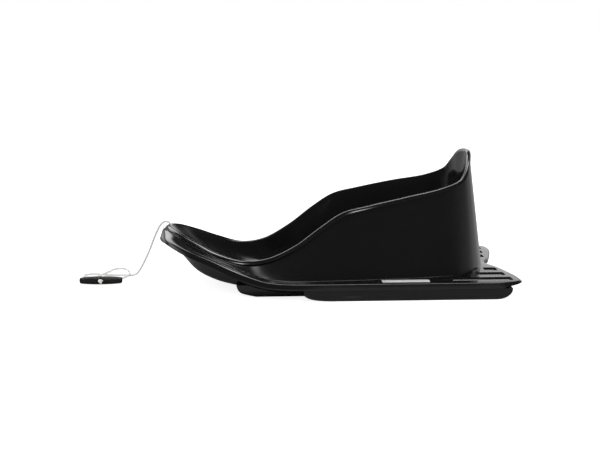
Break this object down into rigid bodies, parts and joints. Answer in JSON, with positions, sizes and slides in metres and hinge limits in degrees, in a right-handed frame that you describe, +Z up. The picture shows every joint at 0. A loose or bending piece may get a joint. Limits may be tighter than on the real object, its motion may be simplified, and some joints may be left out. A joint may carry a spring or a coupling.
{
  "type": "baby pull sled",
  "caption": "Low glossy pull sled for a small child: bucket seat with a tall curved back, wide flange, keeled underside on runner rails, and a tow rope with a bar handle.",
  "frame": {"origin": "on the ground under the middle of the sled, at the bottom centre of the box round it without the rope and handle", "axes": "+X from the nose to the tail, +Z up, so the left side of the sled as it travels is -Y"},
  "size_m": [0.9471, 0.4006, 0.2926],
  "materials": {
    "hull_plastic": "glossy black formed plastic",
    "runner_plastic": "satin black moulded plastic",
    "pale_film": "smooth pale film",
    "rope_yarn": "white braided cord",
    "handle_plastic": "black moulded grip with fine lengthwise ribs"
  },
  "bodies": {
    "sled": {"seat_tub": "hull_plastic", "body_shell": "hull_plastic", "hull_pan": "hull_plastic", "runner_left": "runner_plastic", "runner_right": "runner_plastic", "side_strip": "pale_film", "tow_rope": "rope_yarn", "nose_knot": "rope_yarn", "handle_knot": "rope_yarn"},
    "handle": {"tow_handle": "handle_plastic"}
  },
  "joints": [
    {"name": "handle_swivel", "type": "hinge", "parent": "sled", "child": "handle", "pos_m": [-0.514, -0.016, 0.009], "axis": [0, 1, 0], "continuous": true}
  ]
}
